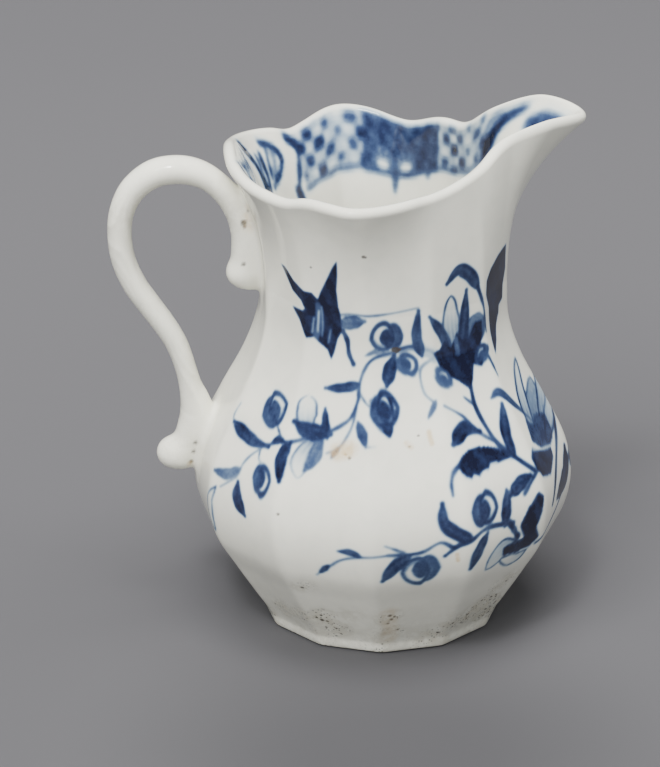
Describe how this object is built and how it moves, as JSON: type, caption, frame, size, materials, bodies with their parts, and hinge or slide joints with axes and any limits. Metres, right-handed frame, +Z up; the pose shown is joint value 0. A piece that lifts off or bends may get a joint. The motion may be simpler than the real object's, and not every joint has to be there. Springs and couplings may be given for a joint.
{
  "type": "cream jug",
  "caption": "Small faceted porcelain cream jug with a wavy rim, a beak spout and a looped strap handle, painted in cobalt blue with flowering sprays.",
  "frame": {"origin": "centre of the foot on the table plane", "axes": "+Z up out of the mouth, +X towards the spout, handle at -X, so the plane of symmetry is XZ"},
  "size_m": [0.0944, 0.0758, 0.1063],
  "materials": {
    "porcelain_body": "clear glossy glaze over white porcelain, painted underglaze in cobalt blue",
    "porcelain_handle": "clear glossy glaze over white porcelain",
    "luting_slip": "glazed joint of porcelain slip, a little stained",
    "glazed_base": "clear glossy glaze with specks and grime",
    "biscuit_foot": "bare ground edge, dull and stained"
  },
  "bodies": {
    "root": {"body_left_half": "porcelain_body", "body_right_half": "porcelain_body", "base_disc": "glazed_base", "foot_ring": "biscuit_foot", "handle": "porcelain_handle", "upper_luting": "luting_slip", "lower_luting": "luting_slip"}
  },
  "joints": []
}
